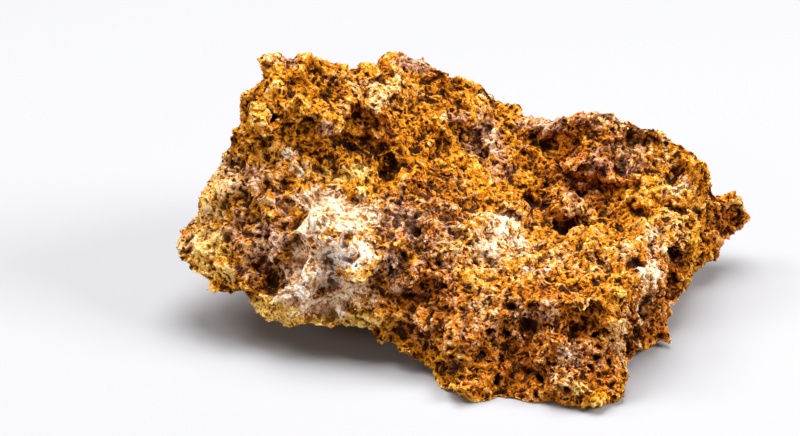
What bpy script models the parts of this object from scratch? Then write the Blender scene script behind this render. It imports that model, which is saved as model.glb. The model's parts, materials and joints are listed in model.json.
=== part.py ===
"""Bauxite hand specimen: one broken lump of earthy, porous ore that rests on its underside.

The lump is a loft. Guide lines run along it from the left tip to the right end, one for each edge,
ledge and hollow of the broken surface, and every station along the length takes one point from each
guide. Knobs are fused to the loft, hollows are cut out of it, the grain of the ore is pushed into its
skin, and a flat cut gives it the face that it rests on.

Metres, +Z up. +X runs along the length and +Y from the front to the back.
The origin is at the middle of the underside.
"""

import bmesh
import bpy
import numpy as np
from mathutils import Euler, Matrix, Vector

MM = 0.001

LEFT_TIP_X = -45.3
RIGHT_END_X = 43.5
STATION_SPACING = 2.4

# Each guide is a line of (x, y, z) points in millimetres, in the order in which a station meets them:
# up the front, over the top, down the back and under.
GUIDES = {
    "foot": (
        (-45.3, -7, 11), (-41.5, -9.5, 8.6), (-38, -11, 7.6), (-31, -16.5, 6.6), (-26, -19.5, 5.6),
        (-15, -16.5, 5.4), (-10, -19, 3.8), (-7, -23.4, 1.6), (-4, -27.2, 0.4), (0, -31, 0),
        (8, -29.5, 0.5), (16, -32, 0), (24, -28.5, 1), (27.5, -18, 1), (32, -14, 0.5), (38, 1.5, 3.6),
        (43.5, 8.5, 3.6),
    ),
    "toe": (
        (-45.3, -8, 14), (-31, -16, 12), (-24, -19, 13), (-16, -17.5, 12), (-8, -20, 8), (0, -27.5, 5),
        (16, -28.5, 6), (24, -26.5, 7), (27.5, -20, 8), (32, -15.5, 8), (38, -1.5, 9), (43.5, 8.5, 8),
    ),
    "brow": (
        (-45.3, -8, 14), (-38, -10, 16), (-31, -13, 18), (-24, -15, 20), (-8, -17, 19), (0, -20, 17),
        (8, -22.5, 16.4), (16, -23.5, 14.5), (24, -21, 16), (31, -14, 14.6), (37, -3, 14), (43, 8, 11),
    ),
    "terrace": (
        (-45.3, -7, 14.8), (-41.5, -7.5, 16.5), (-38, -8, 19), (-31, -9, 25.5), (-16, -8, 26.5),
        (-8, -9, 24.5), (0, -12, 21), (8, -11, 18.6), (16, -13, 14.8), (24, -10, 16.4), (31, -8, 17.5),
        (37, 0, 18), (43, 9, 12.5),
    ),
    "inner_slope": (
        (-45.3, -6, 15.8), (-41.5, -6, 18), (-38, -5, 21.5), (-31, -5, 34), (-24, -5, 31),
        (-16, -1.5, 28), (-8, -1, 27), (0, -4, 23.6), (8, -2, 19.9), (16, -5, 14), (24, -1, 16),
        (31, 0, 19), (37, 3, 20.5), (43, 10, 13.5),
    ),
    "hollow": (
        (-45.3, -5, 16), (-41.5, -4, 18.8), (-38, -3, 23.5), (-31, -2, 39), (-24, -1.5, 37.5),
        (-16, 1.5, 31), (-8, 6, 30.6), (0, 5, 26), (8, 6, 21), (16, 2, 14), (24, 3, 16.5), (31, 4, 23),
        (37, 5, 22.5), (43, 11, 14.5),
    ),
    "wall": (
        (-45.3, -4, 16), (-41.5, -3, 19), (-38, -1, 25.5), (-34, 0, 32.5), (-32, 0, 37.5), (-29, 0, 41),
        (-24, 1, 41), (-16, 4, 36), (-8, 12, 34.7), (0, 12, 30), (8, 13, 24), (16, 9, 20),
        (24, 8, 24), (31, 7, 25.6), (37, 6.5, 24), (43, 12, 15.6),
    ),
    "crest": (
        (-45.3, -3, 15.6), (-41.5, -2, 19.4), (-38.6, 0, 28), (-36.5, 0.5, 32.4), (-34, 1, 35.6),
        (-32, 2, 39.4), (-29.5, 3, 42.8), (-25, 5, 43.4), (-16, 10, 38.8), (-8, 18, 36.6), (0, 19, 34.8),
        (4, 19.5, 32.8), (8, 20, 28.6), (12, 18, 27.4), (16, 16, 28.4), (20, 12, 30.2), (24, 12, 30.6),
        (28.5, 10, 30.4), (31.5, 9, 28.4), (35, 8.5, 27.8), (38, 8, 25.8), (41, 9, 22),
        (43.5, 12, 16.5),
    ),
    "shoulder": (
        (-45.3, -1, 15), (-41.5, 2, 17.5), (-38, 5, 22.5), (-34, 8, 29.5), (-31, 10, 36), (-16, 20, 32),
        (-4, 26, 27), (8, 27, 21), (20, 22, 22), (31, 17, 20), (37, 15, 17), (43, 13, 12),
    ),
    "back": (
        (-45.3, 0, 15), (-38, 9, 18), (-31, 17, 25), (-16, 27, 22), (0, 31, 16), (16, 29, 14),
        (31, 23, 12), (43, 14, 10),
    ),
    "heel": (
        (-45.3, -1, 13), (-38, 8, 11), (-31, 15, 8), (-20, 21, 0), (0, 25, 0), (16, 24, 0), (31, 19, 1),
        (43, 13, 4.6),
    ),
    "keel": (
        (-45.3, -3, 12), (-31, 6, 5), (-18, 10, 0), (0, 12, 0), (24, 10, 0), (35, 10, 0.6), (43, 11, 3.6),
    ),
    "belly": (
        (-45.3, -6, 12), (-31, -5, 6), (-16, -6, 4), (-4, -12, 0), (8, -14, 0), (24, -12, 0),
        (33, 0, 0.6), (43, 9, 4.4),
    ),
}

# Knobs and hollows: centre and radii in millimetres, and turn in degrees about X, Y and Z.
KNOBS = {
    "peak": ((-21.5, 7, 37.4), (3.5, 3.5, 2.4), (0, 0, 0)),
    "left_peak": ((-28.5, 3.5, 40), (3.4, 3.4, 3.2), (0, 0, 0)),
    "back_peak": ((-8.3, 18, 34.4), (4, 4, 3), (0, 0, 0)),
    "peak_lump_left": ((-25, -3, 36), (3, 3, 3.2), (0, 0, 0)),
    "peak_lump_right": ((-20.5, -2.5, 34), (3, 3, 3), (0, 0, 0)),
    "overhang": ((-13.5, 3, 34.5), (5.5, 3.4, 2.2), (0, 28, 0)),
    "shelf": ((-17, -5, 25.5), (7, 3.6, 2), (0, 8, 0)),
    "left_block": ((-31, -5.5, 25), (4.5, 3, 4), (0, 0, 0)),
    "left_rib": ((-37, -5, 17.5), (1.8, 2.4, 6), (0, 12, 0)),
    "left_keel": ((-27, -14.5, 11.5), (4.5, 3.5, 3.5), (0, 0, 0)),
    "chalk_bulge": ((-18, -14, 17), (6, 4, 7), (0, 0, 0)),
    "chalk_lip": ((-18, -15.5, 6.6), (9, 3, 1.8), (0, 0, 0)),
    "middle_bulge": ((-9.5, -14.5, 19.5), (4, 3, 3), (0, 0, 0)),
    "waist_lump": ((-5, -20, 8.5), (3.2, 2.6, 3), (0, 0, 0)),
    "front_lump_left": ((2.5, -24, 9), (3.6, 2.6, 3.2), (0, 0, 0)),
    "front_lump_right": ((14, -26, 8.5), (3.2, 2.4, 3.4), (0, 0, 0)),
    "left_toe": ((0.8, -28.8, 2.5), (3.6, 3.4, 3.5), (0, 0, 0)),
    "right_toe": ((16, -29.5, 3), (5, 3.6, 4), (0, 0, 0)),
    "corner_toe": ((22, -26.5, 4.5), (2.8, 2.8, 3.2), (0, 0, 0)),
    "front_corner": ((23, -24.5, 10), (1.9, 2.2, 6), (0, 0, 0)),
    "front_ledge": ((17.5, -23.5, 15.4), (7, 3, 1.8), (0, 0, 0)),
    "terrace_slab": ((10, -13.5, 15), (5.5, 3, 1.8), (0, 8, 0)),
    "right_knob": ((28.5, -13, 14), (2.6, 2.6, 2.4), (0, 0, 0)),
    "right_rim": ((35, 0, 17.5), (6, 2.4, 2.2), (0, -20, 25)),
    "bowl_brow": ((20, 8.5, 22), (5.5, 3, 2.2), (0, 0, 0)),
    "bowl_ledge": ((22, 6, 16), (4, 2.6, 1.4), (0, 0, 0)),
    "bowl_rim": ((30.5, 5.5, 19.5), (3, 3, 3), (0, 0, 0)),
    "crest_lump_left": ((15.5, 15, 26), (3, 3, 2), (0, 0, 0)),
    "crest_lump_middle": ((20.5, 12.5, 27.4), (3.6, 3, 1.8), (0, 0, 0)),
    "crest_lump_right": ((34, 8.5, 24.8), (3, 3, 2), (0, 0, 0)),
    "right_end": ((45, 13, 11), (3.4, 3.4, 5.2), (0, 0, 0)),
    "right_end_low": ((42, 11, 6.5), (3.4, 3.6, 3.8), (0, 0, 0)),
    "side_block": ((30, -12.5, 4), (2.8, 4, 4), (0, 0, -30)),
    "back_ledge": ((6, 27, 11), (10, 4, 3), (0, -10, 0)),
    "back_step": ((25, 23.5, 7), (7, 4, 5), (0, 0, -20)),
    "back_lump": ((-22, 18, 27), (6, 4.5, 5), (0, 20, 0)),
    "back_foot": ((-12, 25, 5), (6, 4, 4.5), (0, 0, 0)),
}
HOLLOWS = {
    "under_peak": ((-15.5, -1.5, 29.5), (7, 3.6, 2), (0, 32, 0)),
    "under_peak_deep": ((-14, 0.5, 28.4), (3, 2.8, 1.5), (0, 20, 0)),
    "peak_pit_left": ((-29.5, -2.5, 35), (1.8, 2.4, 2), (0, 0, 0)),
    "peak_pit_top": ((-28.5, -0.5, 38.5), (1.3, 1.8, 1.3), (0, 0, 0)),
    "lump_gap_low": ((-26, -2.5, 31.6), (3.4, 2.8, 1.8), (0, 0, 0)),
    "lump_gap_high": ((-21.5, -2.5, 38), (2.2, 2.6, 1.4), (0, 0, 0)),
    "mauve_recess": ((-30, -15.6, 17.5), (5.4, 4, 6.6), (0, 0, 0)),
    "chalk_crease": ((-25, -15.5, 17), (1.1, 3.4, 6), (0, -8, 0)),
    "left_notch": ((-34, -11, 18.5), (1.8, 2.4, 1.8), (0, 0, 0)),
    "middle_pit": ((-12, -15, 23), (1.8, 2.4, 1.8), (0, 0, 0)),
    "valley": ((5, 9, 26), (6, 5, 2.6), (0, 20, 0)),
    "bowl_recess": ((19, 4, 19.4), (7, 4.6, 3), (0, 10, 0)),
    "bowl_funnel": ((16.5, -1, 17), (5.5, 4, 3), (0, 10, 30)),
    "bowl_pit": ((18.5, 2.5, 14), (2.6, 3.4, 2.4), (0, 0, 30)),
    "terrace_crack": ((8, -11.5, 17), (4, 2.4, 0.9), (0, 5, 0)),
    "under_ledge": ((17.5, -27.5, 11.6), (5.5, 3, 2.2), (0, 0, 0)),
    "face_pit_high": ((1, -22, 14.5), (2.4, 2.4, 1.4), (0, 0, 0)),
    "face_pit_middle": ((8.4, -25.8, 10.5), (1.6, 2, 2.6), (0, 0, 0)),
    "face_pit_right": ((20, -27, 7.5), (1.5, 2.2, 2), (0, 0, 0)),
    "waist_pit": ((-8.5, -19, 12), (2.2, 2.4, 2.2), (0, 0, 0)),
    "toe_gap": ((9, -30, 3), (3, 2.6, 2.6), (0, 0, 0)),
    "side_flute": ((29, -19.5, 8), (2, 3.4, 6), (0, 0, 0)),
    "side_flute_back": ((34, -9, 11), (2, 3.4, 5), (0, 0, 0)),
    "pore": ((28, 6, 23), (1.2, 3, 1.2), (0, 0, 0)),
    "end_notch": ((42.6, 11, 18.4), (1.1, 4, 1.8), (0, 0, 0)),
    "back_hollow": ((-12, 29, 16), (7, 4.5, 5), (0, 15, 0)),
    "back_groove": ((16, 31, 18), (3, 5, 7), (0, 25, 0)),
    "back_notch": ((35, 21, 11), (3, 4, 4), (0, 0, 0)),
}

CAGE_VOXEL = 0.9
HOLLOW_VOXEL = 0.5
SKIN_VOXEL = 0.6
GRAIN_VOXEL = 0.5
REST_CUT_Z = 0.9
TRIANGLES = 8800

# The skin's relief, coarse to fine: kind of pattern, size of its cells, depth and level that stays put.
RELIEF = (
    ("swells", "CLOUDS", 14.0, 4.4, 0.40),
    ("blocks", "VORONOI", 9.0, 4.4, 0.16),
    ("lumps", "VORONOI", 5.0, 3.4, 0.16),
    ("crumbs", "CLOUDS", 3.6, 1.6, 0.42),
)
HOLLOW_RELIEF = (("worn_rim", "CLOUDS", 4.0, 2.2, 0.5),)

ORE_COLOUR = (0.46, 0.23, 0.055, 1.0)
ORE_ROUGHNESS = 0.92


def clear_scene():
    for obj in list(bpy.data.objects):
        bpy.data.objects.remove(obj, do_unlink=True)


def new_collection(name, hidden=False):
    collection = bpy.data.collections.new(name)
    collection.hide_render = hidden
    bpy.context.scene.collection.children.link(collection)
    return collection


def new_object(name, mesh, collection):
    obj = bpy.data.objects.new(name, mesh)
    collection.objects.link(obj)
    return obj


def guide_points(guide, stations):
    """The guide's point at each station's x, in metres."""
    x, y, z = np.array(guide, float).T
    return np.column_stack([stations, np.interp(stations, x, y), np.interp(stations, x, z)]) * MM


def loft(guides):
    """The lump's plain form: a skin over the stations, closed at both ends."""
    count = round((RIGHT_END_X - LEFT_TIP_X) / STATION_SPACING)
    stations = np.linspace(LEFT_TIP_X, RIGHT_END_X, count + 1)
    lines = [guide_points(guide, stations) for guide in guides.values()]
    form = bmesh.new()
    rings = [[form.verts.new(line[i]) for line in lines] for i in range(len(stations))]
    for ring, following in zip(rings, rings[1:]):
        for k in range(len(ring)):
            after = (k + 1) % len(ring)
            form.faces.new((ring[k], ring[after], following[after], following[k]))
    form.faces.new(rings[0])
    form.faces.new(rings[-1])
    bmesh.ops.triangulate(form, faces=form.faces)
    bmesh.ops.recalc_face_normals(form, faces=form.faces)
    return form


def add_ball(form, centre, radii, turn):
    """An ellipsoid of its own in the same mesh."""
    place = Matrix.Translation(Vector(centre) * MM)
    place @= Euler(np.radians(turn)).to_matrix().to_4x4()
    place @= Matrix.Diagonal((*(Vector(radii) * MM), 1.0))
    bmesh.ops.create_icosphere(form, subdivisions=3, radius=1.0, matrix=place)


def mesh_of(form, name):
    mesh = bpy.data.meshes.new(name)
    form.to_mesh(mesh)
    form.free()
    return mesh


def remesh(obj, name, voxel):
    modifier = obj.modifiers.new(name, "REMESH")
    modifier.mode = "VOXEL"
    modifier.voxel_size = voxel * MM
    modifier.adaptivity = 0.0


def smooth(obj, name, factor, times):
    modifier = obj.modifiers.new(name, "SMOOTH")
    modifier.factor = factor
    modifier.iterations = times


def relief_texture(name, kind, size):
    texture = bpy.data.textures.new(name, kind)
    texture.noise_scale = size * MM
    if kind == "CLOUDS":
        texture.noise_type = "HARD_NOISE"
    else:
        # Second distance less the first: broken blocks with a crease between neighbours.
        texture.weight_1 = -1.0
        texture.weight_2 = 1.0
    return texture


def add_relief(obj, layers):
    for name, kind, size, depth, level in layers:
        modifier = obj.modifiers.new(name, "DISPLACE")
        modifier.texture = relief_texture(name, kind, size)
        modifier.texture_coords = "LOCAL"
        modifier.mid_level = level
        modifier.strength = depth * MM


def ball_form(balls):
    """One mesh that holds every ball, each still a body of its own."""
    form = bmesh.new()
    for centre, radii, turn in balls.values():
        add_ball(form, centre, radii, turn)
    return form


def cut_hollows(obj, hollows, collection):
    """Cuts all the hollows at once: the cutter's own remesh turns balls that cross into one body."""
    cutter = new_object("hollows", mesh_of(ball_form(hollows), "hollows"), collection)
    cutter.hide_render = True
    cutter.display_type = "WIRE"
    remesh(cutter, "fuse_hollows", HOLLOW_VOXEL)
    add_relief(cutter, HOLLOW_RELIEF)
    remesh(cutter, "close_hollows", HOLLOW_VOXEL)
    modifier = obj.modifiers.new("cut_hollows", "BOOLEAN")
    modifier.operation = "DIFFERENCE"
    modifier.solver = "EXACT"
    modifier.object = cutter


def thin_out(obj, triangles):
    """Brings the skin down to its budget, with the most faces kept where it bends most."""
    bpy.context.view_layer.update()
    skin = obj.evaluated_get(bpy.context.evaluated_depsgraph_get()).to_mesh()
    skin.calc_loop_triangles()
    modifier = obj.modifiers.new("thin_out", "DECIMATE")
    modifier.ratio = triangles / len(skin.loop_triangles)


def baked(obj):
    """The object's mesh with its modifiers applied."""
    bpy.context.view_layer.update()
    graph = bpy.context.evaluated_depsgraph_get()
    return bpy.data.meshes.new_from_object(obj.evaluated_get(graph))


def skin_from(form, start, seen):
    """Every vertex that edges join to this one."""
    found = [start]
    seen.add(start)
    for vert in found:
        for edge in vert.link_edges:
            other = edge.other_vert(vert)
            if other not in seen:
                seen.add(other)
                found.append(other)
    return found


def keep_outer_skin(mesh):
    """Drops the skin of any hollow that the relief has sealed off inside the lump."""
    form = bmesh.new()
    form.from_mesh(mesh)
    seen = set()
    skins = [skin_from(form, vert, seen) for vert in form.verts if vert not in seen]
    skins.sort(key=len)
    for sealed in skins[:-1]:
        bmesh.ops.delete(form, geom=sealed, context="VERTS")
    form.to_mesh(mesh)
    form.free()


def cut_flat(mesh, height):
    """Cuts the lump off level, and closes the cut with the face that it rests on."""
    form = bmesh.new()
    form.from_mesh(mesh)
    cut = bmesh.ops.bisect_plane(
        form,
        geom=form.verts[:] + form.edges[:] + form.faces[:],
        plane_co=(0, 0, height * MM),
        plane_no=(0, 0, -1),
        clear_outer=True,
    )
    rim = [item for item in cut["geom_cut"] if isinstance(item, bmesh.types.BMEdge)]
    # This fill leaves the pits in the underside open, where one face for each loop would seal them.
    bmesh.ops.triangle_fill(form, use_beauty=True, use_dissolve=False, edges=rim)
    bmesh.ops.triangulate(form, faces=form.faces)
    bmesh.ops.recalc_face_normals(form, faces=form.faces)
    form.to_mesh(mesh)
    form.free()


def put_origin_under_middle(mesh):
    points = np.array([v.co for v in mesh.vertices])
    low, high = points.min(axis=0), points.max(axis=0)
    middle = (low + high) / 2
    mesh.transform(Matrix.Translation((-middle[0], -middle[1], -low[2])))


def ore_material():
    material = bpy.data.materials.new("ore")
    material.use_nodes = True
    shader = material.node_tree.nodes["Principled BSDF"]
    shader.inputs["Base Color"].default_value = ORE_COLOUR
    shader.inputs["Roughness"].default_value = ORE_ROUGHNESS
    shader.inputs["Metallic"].default_value = 0.0
    return material


def build_specimen():
    specimen_parts = new_collection("bauxite_specimen")
    cutters = new_collection("cutters", hidden=True)

    form = loft(GUIDES)
    for centre, radii, turn in KNOBS.values():
        add_ball(form, centre, radii, turn)
    specimen = new_object("bauxite_specimen", mesh_of(form, "bauxite_specimen"), specimen_parts)

    remesh(specimen, "fuse_knobs", CAGE_VOXEL)
    cut_hollows(specimen, HOLLOWS, cutters)
    remesh(specimen, "skin", SKIN_VOXEL)
    smooth(specimen, "worn_edges", 0.5, 4)
    add_relief(specimen, RELIEF)
    remesh(specimen, "grain", GRAIN_VOXEL)
    smooth(specimen, "worn_grain", 0.5, 2)
    thin_out(specimen, TRIANGLES)

    specimen.data = baked(specimen)
    specimen.modifiers.clear()
    keep_outer_skin(specimen.data)
    cut_flat(specimen.data, REST_CUT_Z)
    put_origin_under_middle(specimen.data)
    specimen.data.materials.append(ore_material())
    return specimen


def main():
    clear_scene()
    build_specimen()


main()
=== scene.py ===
"""Looks of a hand specimen of bauxite.

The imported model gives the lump's form. This script covers it with the fine surface of the ore: crests,
lumps, broken blocks, pores and caves, loose grains bedded in it, and a finish that mixes ochre, rust,
lemon, tan, mauve, grey and chalky earth where each of them lies. A pale floor, soft lights and a camera
complete the scene.
"""

import json
import logging
import math
from dataclasses import dataclass
from enum import Enum
from functools import reduce

import bpy
import numpy as np
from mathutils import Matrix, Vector
from mathutils.bvhtree import BVHTree

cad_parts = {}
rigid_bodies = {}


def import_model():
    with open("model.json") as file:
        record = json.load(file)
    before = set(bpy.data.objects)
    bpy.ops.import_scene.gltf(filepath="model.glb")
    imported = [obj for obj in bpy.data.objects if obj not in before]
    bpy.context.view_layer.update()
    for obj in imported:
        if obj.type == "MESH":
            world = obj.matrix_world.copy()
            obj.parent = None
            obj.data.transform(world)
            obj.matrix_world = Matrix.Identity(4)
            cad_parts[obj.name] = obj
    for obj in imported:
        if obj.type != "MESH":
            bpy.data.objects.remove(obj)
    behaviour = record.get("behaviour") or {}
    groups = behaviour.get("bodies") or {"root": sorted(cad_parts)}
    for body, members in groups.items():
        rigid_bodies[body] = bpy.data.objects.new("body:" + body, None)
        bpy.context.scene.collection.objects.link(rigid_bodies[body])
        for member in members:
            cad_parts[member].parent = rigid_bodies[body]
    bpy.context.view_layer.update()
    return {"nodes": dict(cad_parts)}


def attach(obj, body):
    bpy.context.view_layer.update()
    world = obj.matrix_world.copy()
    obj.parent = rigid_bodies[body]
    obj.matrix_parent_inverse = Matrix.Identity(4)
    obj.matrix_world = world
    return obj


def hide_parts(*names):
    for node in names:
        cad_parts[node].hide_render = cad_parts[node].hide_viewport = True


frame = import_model()

log = logging.getLogger("bauxite")

MM = 0.001
NODE = "bauxite_specimen"
BODY = "root"
FRAME_WIDTH, FRAME_HEIGHT = 800, 436
HOLLOW = "hollow"

Colour = tuple[float, float, float]
Tones = tuple[Colour, ...]
Socket = bpy.types.NodeSocket


def paint(red: int, green: int, blue: int) -> Colour:
    """Gives the linear colour of an sRGB colour from 0 to 255."""
    shares = [level / 255 for level in (red, green, blue)]
    return tuple(s / 12.92 if s <= 0.04045 else ((s + 0.055) / 1.055) ** 2.4 for s in shares)


def tones_of(*levels: tuple[int, int, int]) -> Tones:
    """Gives the linear colours of an earth's tones, from the darkest, which paints shade in its pits, to
    the palest, which paints a highlight on its edges.
    """
    return tuple(paint(*level) for level in levels)


class Earth(Enum):
    """A kind of earth in the ore, which is also the name of the attribute that says where it lies."""

    CHALK = "chalk"
    GREY = "grey"
    MAUVE = "mauve"
    RUST = "rust"
    LEMON = "lemon"
    TAN = "tan"
    # Painted shade, with some real staining: the dark pit colour in the hollows where it lies, not an
    # earth of its own
    SHADE_AND_STAIN = "stain"


class Grain(Enum):
    """A kind of broken surface, which is also the name of the attribute that says where it lies."""

    ROPY = "ropy"
    POROUS = "porous"
    POWDERY = "powdery"
    LAYERED = "layered"
    RIBBED = "ribbed"
    BANKED = "banked"


@dataclass(frozen=True)
class Viewpoint:
    """Where the camera stands: it looks level along +Y, then down by its lift.

    Attributes:
        target: the point that it looks at, in millimetres.
        distance: how far it stands from that point, in millimetres.
        lift: how far above the horizon it stands, in degrees.
        lens: focal length in millimetres, on a sensor as wide as sensor.
    """

    target: tuple[float, float, float] = (-11.2, -1.5, 16.9)
    distance: float = 347.0
    lift: float = 28.0
    lens: float = 100.0
    sensor: float = 36.0

    def axes(self) -> tuple[Vector, Vector, Vector]:
        """Gives the view's right, up and forward directions."""
        lift = math.radians(self.lift)
        forward = Vector((0.0, math.cos(lift), -math.sin(lift)))
        right = Vector((1.0, 0.0, 0.0))
        return right, right.cross(forward), forward

    def stand(self) -> Vector:
        """Gives the camera's place in metres."""
        return (Vector(self.target) - self.axes()[2] * self.distance) * MM

    def ray(self, across: float, down: float) -> Vector:
        """Gives the direction in which a pixel of the frame lies.

        Args:
            across: pixels from the frame's left edge.
            down: pixels from the frame's top edge.

        Returns:
            A unit vector from the camera.
        """
        right, up, forward = self.axes()
        focal = self.lens / self.sensor * FRAME_WIDTH
        sideways = (across - FRAME_WIDTH / 2) / focal
        upwards = (FRAME_HEIGHT / 2 - down) / focal
        return (forward + right * sideways + up * upwards).normalized()


VIEW = Viewpoint()


@dataclass(frozen=True)
class Patch:
    """A patch that the camera sees.

    Attributes:
        kind: the earth or the grain of the patch.
        across, down: its middle in the frame, in pixels.
        wide, high: half its width and height in the view, in millimetres.
        strength: how much of it there is at its middle.
    """

    kind: Earth | Grain
    across: float
    down: float
    wide: float
    high: float
    strength: float = 1.0


@dataclass(frozen=True)
class FarPatch:
    """A patch on a side that the camera doesn't see.

    Attributes:
        kind: the earth or the grain of the patch.
        middle: its place in millimetres.
        radius: how far it reaches, in millimetres.
        strength: how much of it there is at its middle.
    """

    kind: Earth | Grain
    middle: tuple[float, float, float]
    radius: float
    strength: float = 1.0


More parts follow.
